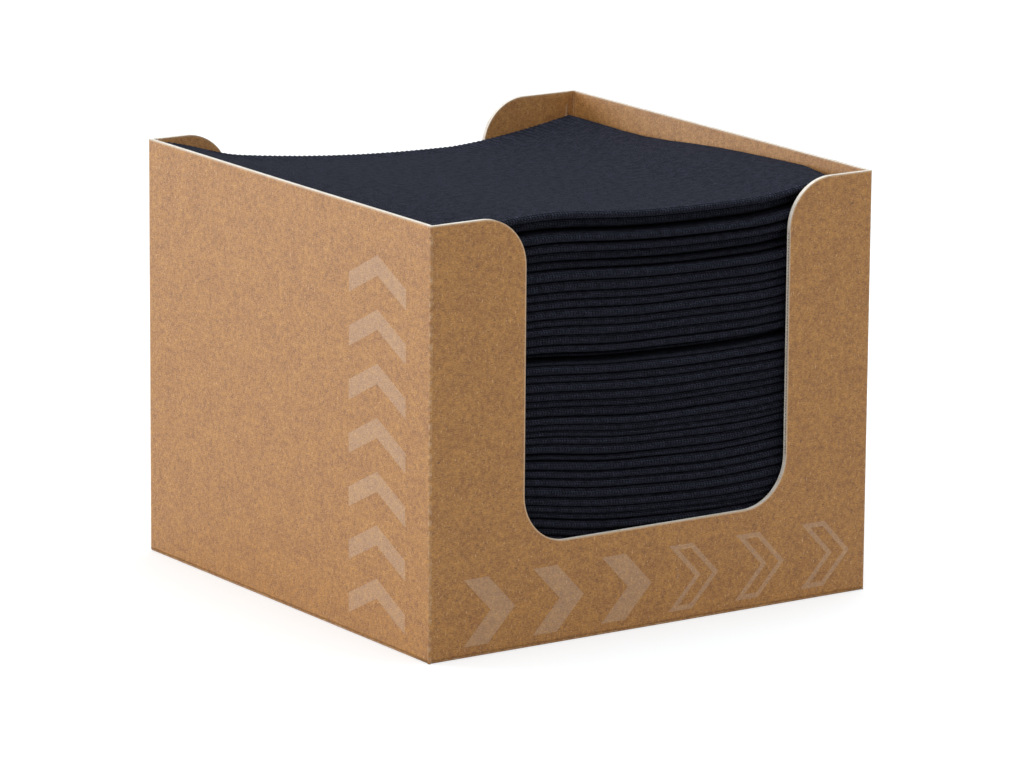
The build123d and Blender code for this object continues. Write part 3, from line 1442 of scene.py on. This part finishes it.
@dataclass
class PrintedMarks:
    """Plain marks in faint ink: a row of chevrons under the front window, a column up the left wall.

    Attributes:
        tube: The folded board that they are printed on.
        film: Thickness of the ink.
        lift: Its underside's height over the paper.
        stroke: Width of an outlined mark's line.
        row_count: Marks in the row.
        row_solid: How many of them, from the left, are solid; the others are outlined.
        row_pitch: From one mark of the row to the next.
        row_first: Left edge of its first mark, from the front wall's middle.
        row_low: Height of the marks' feet.
        row_high: Height of their tops.
        row_arm: Width of a mark's arms.
        row_point: How far its point stands out.
        column_count: Marks in the column.
        column_pitch: From one mark of the column to the next.
        column_low: Height of its first mark's feet.
        column_band: Where the marks start and end, back from the front fold.
        column_rise: How far a mark's point stands up.
        column_stroke: Width of its arms.
    """

    tube: CartonTube
    film: float = 0.02 * MM
    lift: float = 0.01 * MM
    stroke: float = 2.0 * MM

    row_count: int = 6
    row_solid: int = 3
    row_pitch: float = 32.4 * MM
    row_first: float = -89.1 * MM
    row_low: float = 4.5 * MM
    row_high: float = 31.3 * MM
    row_arm: float = 11.4 * MM
    row_point: float = 12.6 * MM

    column_count: int = 7
    column_pitch: float = 21.4 * MM
    column_low: float = 8.0 * MM
    column_band: tuple[float, float] = (17.0 * MM, 57.0 * MM)
    column_rise: float = 10.0 * MM
    column_stroke: float = 8.0 * MM

    def pointing_right(self, left: float, inset: float = 0.0) -> Outline:
        """Outline of one chevron of the row.

        Args:
            left: Its left edge.
            inset: How far the outline is drawn inside the full shape.

        Returns:
            Points on the wall, across and up from its middle foot.
        """
        low, high = self.row_low + inset, self.row_high - inset
        middle, rise = (low + high) / 2, (high - low) / 2
        lean = self.row_point / ((self.row_high - self.row_low) / 2)
        side = inset * math.hypot(1.0, lean)
        start = left + side + inset * lean
        end = left + self.row_arm - side + inset * lean
        return [(start, low), (end, low), (end + rise * lean, middle), (end, high), (start, high),
                (start + rise * lean, middle)]

    def pointing_up(self, low: float) -> Outline:
        """Outline of one chevron of the column.

        Args:
            low: Height of its feet.

        Returns:
            Points on the wall, back from its front fold and up.
        """
        near, far = self.column_band
        middle, high = (near + far) / 2, low + self.column_stroke
        return [(near, high), (middle, high + self.column_rise), (far, high), (far, low),
                (middle, low + self.column_rise), (near, low)]

    def on_front(self, across: np.ndarray, up: np.ndarray, depth: np.ndarray) -> np.ndarray:
        """Points on the front wall, across from its middle."""
        return self.tube.place(self.tube.front_centre + across, up, depth)

    def on_left(self, back: np.ndarray, up: np.ndarray, depth: np.ndarray) -> np.ndarray:
        """Points on the left wall, back from its front fold."""
        return self.tube.place(self.tube.marks[1] + self.tube.fold - back, up, depth)

    def _films(self, name: str, loops: list[Outline], place: Callable[..., np.ndarray]
               ) -> bpy.types.Mesh:
        """Make one mesh of thin closed films, one over each outline.

        Args:
            name: Name of the mesh.
            loops: The outlines.
            place: Gives points in the frame for across, up and depth.

        Returns:
            The mesh.
        """
        points: list[list[float]] = []
        faces: list[list[int]] = []
        flats: list[tuple[float, float]] = []
        for loop in loops:
            self._add_film(loop, place, points, faces, flats)
        mesh = bpy.data.meshes.new(name)
        mesh.from_pydata(points, [], faces)
        layer = mesh.uv_layers.new(name=SHEET_UV)
        for corner in mesh.loops:
            layer.data[corner.index].uv = flats[corner.vertex_index]
        mesh.update()
        return mesh

    def _add_film(self, loop: Outline, place: Callable[..., np.ndarray],
                  points: list[list[float]], faces: list[list[int]],
                  flats: list[tuple[float, float]]) -> None:
        """Add one closed film over an outline.

        Args:
            loop: Outline points.
            place: Gives points in the frame for across, up and depth.
            points: Points so far, added to.
            faces: Faces so far, added to.
            flats: Places on the flat sheet so far, added to.
        """
        base, count = len(points), len(loop)
        across = np.array([p[0] for p in loop])
        up = np.array([p[1] for p in loop])
        for depth in (-self.lift - self.film, -self.lift):
            spots = place(across, up, np.full(count, depth))
            points.extend(spots.tolist())
            flats.extend(zip(across.tolist(), up.tolist()))
        faces.append(list(range(base, base + count)))
        faces.append([base + count + i for i in reversed(range(count))])
        for i in range(count):
            j = (i + 1) % count
            faces.append([base + j, base + i, base + count + i, base + count + j])

    def ring(self, outer: Outline, inner: Outline) -> list[Outline]:
        """Split the space between two outlines into one strip for each side.

        Args:
            outer: Full outline.
            inner: The same outline, drawn smaller.

        Returns:
            One four-cornered outline for each side.
        """
        count = len(outer)
        return [[outer[i], outer[(i + 1) % count], inner[(i + 1) % count], inner[i]]
                for i in range(count)]

    def build(self, ink: bpy.types.Material) -> None:
        """Print the marks.

        Args:
            ink: Finish of the ink over kraft paper.
        """
        row: list[Outline] = []
        for number in range(self.row_count):
            start = self.row_first + number * self.row_pitch
            if number < self.row_solid:
                row.append(self.pointing_right(start))
            else:
                inner = self.pointing_right(start, self.stroke)
                row += self.ring(self.pointing_right(start), inner)
        column = [self.pointing_up(self.column_low + number * self.column_pitch)
                  for number in range(self.column_count)]
        for name, loops, place in (("printed_row", row, self.on_front),
                                   ("printed_column", column, self.on_left)):
            obj = new_object(name, self._films(name, loops, place))
            obj.data.materials.append(ink)
            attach(obj, Body.CARTON.value)
            log.info("%s: %d films", name, len(loops))


# ---------------------------------------------------------------------------------------------
# The napkins
# ---------------------------------------------------------------------------------------------


@dataclass(frozen=True)
class Parting:
    """A place where the stack has opened a little between two napkins.

    Attributes:
        share: How far up the stack it is, from 0 to 1.
        opening: Height of the gap at the front.
        middle: Where across the stack it is widest.
        spread: How far to each side it reaches.
        back: How far the napkin there has slipped back.
    """

    share: float
    opening: float
    middle: float
    spread: float
    back: float = 0.0


@dataclass
class NapkinStack:
    """Fifty quarter-folded napkins, pressed together, sagging and slightly out of line.

    Attributes:
        flat_side: Side of a napkin before it is folded.
        columns: Mesh columns over one ply.
        fold_columns: Mesh columns round the side fold.
        fold_rows: Mesh rows round the front fold.
        rows: Mesh rows over one ply.
        ply_share: A ply's thickness, over the napkin's own.
        seed: Fixes the random draws.
        partings: Where the stack has opened.
        nose: How much deeper a front fold is than a half round.
        scallop: How far the top napkin's pressed back edge waves up and down.
        scallop_pitch: Length of one wave of it.
        top_columns: Mesh columns over one ply of the top napkin.
    """

    flat_side: float = 400.0 * MM
    columns: int = 26
    fold_columns: int = 6
    fold_rows: int = 12
    rows: int = 13
    ply_share: float = 0.215
    seed: int = 7
    partings: tuple[Parting, ...] = (
        Parting(0.655, 1.2 * MM, -30.0 * MM, 120.0 * MM, 4.5 * MM),
        Parting(0.965, 1.2 * MM, -60.0 * MM, 110.0 * MM, 4.0 * MM),
        Parting(0.945, 0.9 * MM, 10.0 * MM, 120.0 * MM),
        Parting(0.925, 0.7 * MM, 20.0 * MM, 110.0 * MM),
        Parting(0.885, 0.9 * MM, 50.0 * MM, 80.0 * MM, 2.4 * MM),
        Parting(0.865, 0.6 * MM, 70.0 * MM, 80.0 * MM, 2.0 * MM),
        Parting(0.60, 0.7 * MM, 75.0 * MM, 35.0 * MM),
        Parting(0.51, 0.4 * MM, -20.0 * MM, 80.0 * MM, 1.2 * MM),
        Parting(0.40, 0.5 * MM, -60.0 * MM, 60.0 * MM),
        Parting(0.24, 0.5 * MM, -40.0 * MM, 70.0 * MM),
    )
    nose: float = 1.6
    scallop: float = 0.5 * MM
    scallop_pitch: float = 2.4 * MM
    top_columns: int = 330

    def __post_init__(self) -> None:
        """Find the CAD napkins, and draw each one's thickness and place in the stack."""
        self.nodes = sorted(n for n in frame["nodes"] if n.startswith("napkin_"))
        self.draw = random.Random(self.seed)
        self.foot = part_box(self.nodes[0])[0].z
        self.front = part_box(self.nodes[0])[0].y
        weights = []
        for node in self.nodes:
            low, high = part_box(node)
            share = (high.z + low.z) / 2 / CAD_BOX[1].z
            weights.append((0.9 + 0.2 * share) * self.draw.uniform(0.66, 1.3))
        marks = np.concatenate([[0.0], np.cumsum(weights)])
        self.shares = marks / marks[-1]

    def top_height(self, x: np.ndarray, y: np.ndarray) -> np.ndarray:
        """Height of the stack's upper surface: corners up, middle and back down.

        Args:
            x: Across.
            y: Towards the back.

        Returns:
            Heights.
        """
        u, v = x / MM, y / MM
        front = 166.2 + 4.2 * np.exp(-(((u + 50.0) / 38.0) ** 2)) + 3.3 * smoothstep(50.0, 88.0, u)
        left = np.clip((38.0 - u) / 138.0, 0.0, 1.2)
        right = np.clip((u - 38.0) / 62.0, 0.0, 1.2)
        back = 155.0 + 12.6 * left**2 + 8.0 * right**1.5 + 3.4 * smoothstep(0.74, 1.0, left)
        share = np.clip((v + 100.0) / 200.0, -0.05, 1.05)
        dip = 2.4 * np.exp(-(((v - 45.0) / 38.0) ** 2)) * smoothstep(20.0, 100.0, u)
        crest = 101.5 - 0.32 * (-59.0 - v)
        past = np.clip(u - crest, 0.0, None) * smoothstep(-55.0, -63.0, v)
        return (front + (back - front) * share - dip - 8.0 * (past / 12.0) ** 1.5) * MM

    def surface(self, share: np.ndarray, x: np.ndarray, y: np.ndarray) -> np.ndarray:
        """Height of the surface below which a given share of the stack lies.

        Args:
            share: Share of the stack, from 0 to 1.
            x: Across.
            y: Towards the back.

        Returns:
            Heights.
        """
        u, v = x / MM, y / MM
        level = self.foot + share * (self.top_height(x, y) - self.foot)
        rise = (share / 0.2) ** 1.5 * math.exp(1.5 * (1.0 - share / 0.2))
        lean = 0.5 * (1.0 - np.tanh((u + 45.0) / 25.0)) - 0.12 * np.exp(-(((u - 38.0) / 24.0) ** 2))
        forward = np.clip((100.0 - v) / 200.0, 0.0, 1.0)
        level = level + 9.6 * MM * rise * lean * (0.25 + 0.75 * forward)
        ripple = (np.sin(u / 17.0 + 9.0 * share) + 0.7 * np.sin(u / 9.3 - 23.0 * share + v / 40.0))
        swell = 4.0 * share * (1.0 - share)
        return level + 0.22 * MM * swell * ripple

    def opening(self, share: float, x: np.ndarray, y: np.ndarray) -> np.ndarray:
        """Height of the air over the napkin that ends at a share of the stack.

        Args:
            share: Share of the stack up to that napkin's top.
            x: Across.
            y: Towards the back.

        Returns:
            Heights of the gap.
        """
        air = np.full_like(x, 0.05 * MM)
        half = 0.5 / len(self.nodes)
        for parting in self.partings:
            if abs(parting.share - share) <= half:
                wide = np.exp(-(((x - parting.middle) / parting.spread) ** 2))
                near = np.clip((60.0 * MM - y) / (160.0 * MM), 0.0, 1.0)
                air = air + parting.opening * wide * near
        return air

    def ply_line(self, thickness: float, columns: int) -> tuple[np.ndarray, ...]:
        """Section of the half-folded sheet, seen from the front: outer ply, side fold, inner ply.

        Args:
            thickness: The folded napkin's own.
            columns: Mesh columns over one ply.

        Returns:
            Place across, offset from the middle, the two parts of the outward direction, and
            distance over the flat sheet from the first fold, one value for each column.
        """
        outer, inner = 0.375 * thickness, 0.125 * thickness
        turn = (outer - inner) / 2
        reach = self.flat_side / 2
        edge = reach / 2 - turn - self.ply_share * thickness / 2
        straight = reach - turn * math.pi / 2
        run = np.linspace(0.0, 1.0, columns) ** 0.9
        angle = np.linspace(math.pi / 2, -math.pi / 2, self.fold_columns + 2)[1:-1]
        level = np.ones(columns)
        across = np.concatenate([edge - straight * run[::-1], edge + turn * np.cos(angle),
                                 edge - straight * run])
        offset = np.concatenate([outer * level, (outer + inner) / 2 + turn * np.sin(angle),
                                 inner * level])
        out_x = np.concatenate([0 * level, np.cos(angle), 0 * level])
        out_w = np.concatenate([level, np.sin(angle), -level])
        flat = np.concatenate([-(straight * run[::-1] + turn * math.pi / 2),
                               turn * (math.pi / 2 - (math.pi / 2 - angle)) * -1.0,
                               straight * run + turn * math.pi / 2])
        return across, offset, out_x, out_w, flat

    def napkin(self, number: int) -> SheetGrid:
        """Fold one napkin and lay it in the stack.

        Args:
            number: Its place, from 0 at the bottom.

        Returns:
            Its closed sheet.
        """
        below, above = self.shares[number], self.shares[number + 1]
        mean = (above - below) * (167.0 * MM - self.foot)
        thin = self.ply_share * mean
        slide = self.draw.uniform(-0.7, 0.7) * MM
        setback = self.draw.uniform(0.0, 1.1) * MM
        setback += sum(p.back for p in self.partings if below <= p.share < above)
        skew = self.draw.uniform(-0.004, 0.004)
        columns = self.columns if number < len(self.nodes) - 1 else self.top_columns
        across, offset, out_x, out_w, flat = self.ply_line(mean, columns)
        quarter = np.linspace(-math.pi / 2, math.pi / 2, self.fold_rows + 1)
        run = np.linspace(0.0, 1.0, self.rows + 1)[1:] ** 1.25
        faces = []
        for side in (1.0, -1.0):
            x = (across + side * thin / 2 * out_x)[None, :]
            w = (offset + side * thin / 2 * out_w)[None, :]
            reach = self.flat_side / 2 - w * math.pi / 4 * (1.0 + self.nose)
            centre = self.front + (0.5 * self.nose - 0.3) * mean
            bend_y = centre - self.nose * w * np.cos(quarter)[:, None]
            bend_w = w * np.sin(quarter)[:, None]
            run_y = centre + reach * run[:, None]
            run_w = np.repeat(w, len(run), axis=0)
            y = np.concatenate([run_y[::-1], bend_y, run_y])
            rise = np.concatenate([-run_w, bend_w, run_w])
            spread = np.repeat(x, len(y), axis=0) + slide
            faces.append(self._lay(spread, y, rise / mean, number, setback, skew))
        length = np.concatenate([-(run[::-1] * self.flat_side / 2 + mean), mean * np.sin(quarter),
                                 run * self.flat_side / 2 + mean])
        uv = np.stack(np.meshgrid(length, flat, indexing="ij"), axis=-1)[..., ::-1]
        rows, columns = faces[0].shape[:2]
        return SheetGrid(top=faces[1], under=faces[0], keep=np.ones((rows - 1, columns - 1), bool),
                         uv=uv + number * 0.013)

    def _lay(self, x: np.ndarray, y: np.ndarray, rise: np.ndarray, number: int, setback: float,
             skew: float) -> np.ndarray:
        """Put a folded napkin's points between the surfaces of the stack.

        Args:
            x: Across.
            y: Towards the back.
            rise: Height from the napkin's middle, over its thickness.
            number: Its place, from 0 at the bottom.
            setback: How far its front fold stands back; the back edge stays in line.
            skew: How far it is turned, in radians.

        Returns:
            Points in the frame.
        """
        below, above = self.shares[number], self.shares[number + 1]
        forward = np.clip((100.0 * MM - y) / (200.0 * MM), 0.0, 1.0)
        y_turned = y + setback * forward + skew * x
        wave = np.zeros_like(x)
        if number == len(self.nodes) - 1:
            wave = 0.5 + 0.5 * np.cos(2 * math.pi * x / self.scallop_pitch)
            wave = self.scallop * wave * smoothstep(96.0 * MM, 99.0 * MM, y)
        under = self.surface(below, x, y)
        over = self.surface(above, x, y) - self.opening(above, x, y)
        room = over - under
        height = (under + over) / 2 + rise * room + wave
        return np.stack([x - skew * y, y_turned, height], axis=-1)

    def build(self, face: bpy.types.Material) -> None:
        """Build and dress every napkin, and attach each to its body.

        Args:
            face: Finish of the napkins.
        """
        singles = {n: b for b, ns in frame["record"]["behaviour"]["bodies"].items() for n in ns}
        for number, node in enumerate(self.nodes):
            name = f"folded_{node}"
            obj = new_object(name, self.napkin(number).build(name))
            obj.data.materials.append(face)
            obj.data.materials.append(face)
            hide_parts(node)
            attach(obj, singles[node])
        log.info("%d napkins: %d faces each", len(self.nodes), len(obj.data.polygons))


# ---------------------------------------------------------------------------------------------
# Studio
# ---------------------------------------------------------------------------------------------


@dataclass(frozen=True)
class SoftLight:
    """A large soft area light that points at the middle of the carton.

    Attributes:
        name: Its name.
        place: Where it hangs.
        size: Its width and height.
        power: In watts.
        tint: Its colour.
    """

    name: str
    place: tuple[float, float, float]
    size: tuple[float, float]
    power: float
    tint: tuple[float, float, float] = (1.0, 1.0, 1.0)

    def build(self, target: Vector) -> None:
        """Hang the light.

        Args:
            target: What it points at.
        """
        lamp = bpy.data.lights.new(self.name, "AREA")
        lamp.shape = "RECTANGLE"
        lamp.size, lamp.size_y = self.size
        lamp.energy = self.power
        lamp.color = self.tint
        obj = bpy.data.objects.new(self.name, lamp)
        bpy.context.scene.collection.objects.link(obj)
        obj.location = self.place
        obj.rotation_mode = "QUATERNION"
        obj.rotation_quaternion = (target - Vector(self.place)).to_track_quat("-Z", "Y")


@dataclass
class Studio:
    """Camera, soft lights, white surround and pale floor.

    Attributes:
        azimuth: Camera's angle round the object, from the front.
        elevation: Its angle above the horizon.
        roll: Its turn about its own axis.
        distance: From the camera to the target.
        target: What the middle of the picture shows.
        lens: Focal length, in millimetres on a 36 mm sensor.
        floor_side: Side of the floor.
        surround: Light that the white surround gives.
    """

    azimuth: float = math.radians(-34.2388)
    elevation: float = math.radians(13.0443)
    roll: float = math.radians(0.4575)
    distance: float = 2.5154
    target: tuple[float, float, float] = (-0.018265, -0.031885, 0.086)
    lens: float = 221.99
    floor_side: float = 40.0
    surround: float = 0.56
    lights: tuple[SoftLight, ...] = (
        SoftLight("left_light", (-1.7, 2.2, 0.75), (2.0, 1.3), 38.0),
        SoftLight("side_light", (-2.1, -0.3, 0.9), (1.2, 1.0), 9.0),
        SoftLight("top_light", (0.3, 0.0, 2.0), (1.5, 1.5), 24.0, (0.80, 0.92, 1.0)),
        SoftLight("front_light", (0.55, -0.9, 0.06), (0.5, 0.4), 0.9, (1.0, 0.90, 0.72)),
    )

    def build(self) -> None:
        """Make the whole studio."""
        self._camera()
        self._world()
        self._floor()
        for light in self.lights:
            light.build(Vector(self.target))
        bpy.context.scene.view_settings.view_transform = "Standard"
        log.info("studio: %d lights", len(self.lights))

    def _camera(self) -> None:
        """Make the camera and look through it."""
        data = bpy.data.cameras.new("camera")
        data.lens = self.lens
        data.sensor_width = 36.0
        data.clip_start, data.clip_end = 0.05, 100.0
        camera = bpy.data.objects.new("camera", data)
        bpy.context.scene.collection.objects.link(camera)
        level = math.cos(self.elevation)
        back = Vector((math.sin(self.azimuth) * level, -math.cos(self.azimuth) * level,
                       math.sin(self.elevation)))
        right = Vector((0.0, 0.0, 1.0)).cross(back).normalized()
        up = back.cross(right)
        turned_right = right * math.cos(self.roll) + up * math.sin(self.roll)
        turned_up = up * math.cos(self.roll) - right * math.sin(self.roll)
        axes = Matrix((turned_right, turned_up, back)).transposed()
        camera.matrix_world = Matrix.Translation(Vector(self.target) + back * self.distance
                                                 ) @ axes.to_4x4()
        bpy.context.scene.camera = camera

    def _world(self) -> None:
        """Make the white surround."""
        world = bpy.data.worlds.new("surround")
        world.use_nodes = True
        shade = world.node_tree.nodes["Background"]
        shade.inputs["Color"].default_value = (1.0, 1.0, 1.0, 1.0)
        nodes = NodeTree(world.node_tree)
        seen = nodes.add("ShaderNodeLightPath").outputs["Is Camera Ray"]
        nodes.join(nodes.math("MAXIMUM", seen, self.surround), shade.inputs["Strength"])
        bpy.context.scene.world = world

    def _floor(self) -> None:
        """Lay the floor under the carton."""
        half = self.floor_side / 2
        corners = [(-half, -half, 0.0), (half, -half, 0.0), (half, half, 0.0), (-half, half, 0.0)]
        mesh = bpy.data.meshes.new("floor")
        mesh.from_pydata(corners, [], [(0, 1, 2, 3)])
        floor = new_object("floor", mesh)
        floor.location.z = CAD_BOX[0].z
        mesh.materials.append(StudioFloor().material())


def main() -> None:
    """Build the carton, its print, the napkins and the studio, in that order."""
    logging.basicConfig(level=logging.INFO, format="%(name)s: %(message)s")
    faces = {Ply.OUTER: KraftFace().material(),
             # The fluted medium is a darker brown, darkened much further as painted shade in the
             # flute openings at the cut edges.
             Ply.MEDIUM: KraftFace("kraft_flute_painted_shade", (0.05, 0.018, 0.004, 1.0),
                                   (0.17, 0.075, 0.02, 1.0)).material(),
             Ply.INNER: KraftFace("kraft_inside", (0.27, 0.085, 0.015, 1.0),
                                  (0.72, 0.37, 0.11, 1.0)).material()}
    cut = KraftCutAndHighlight().material()
    tube = CartonTube(Board())
    tube.build(faces, cut)
    for wall in Wall:
        BottomFlap(wall, tube).build(faces, cut)
    ink = KraftFace(name="printed_kraft", ink=(0.62, 0.46, 0.34, 1.0), ink_cover=0.3)
    PrintedMarks(tube).build(ink.material())
    NapkinStack().build(AirlaidFace().material())
    Studio().build()


if __name__ == "__main__":
    main()
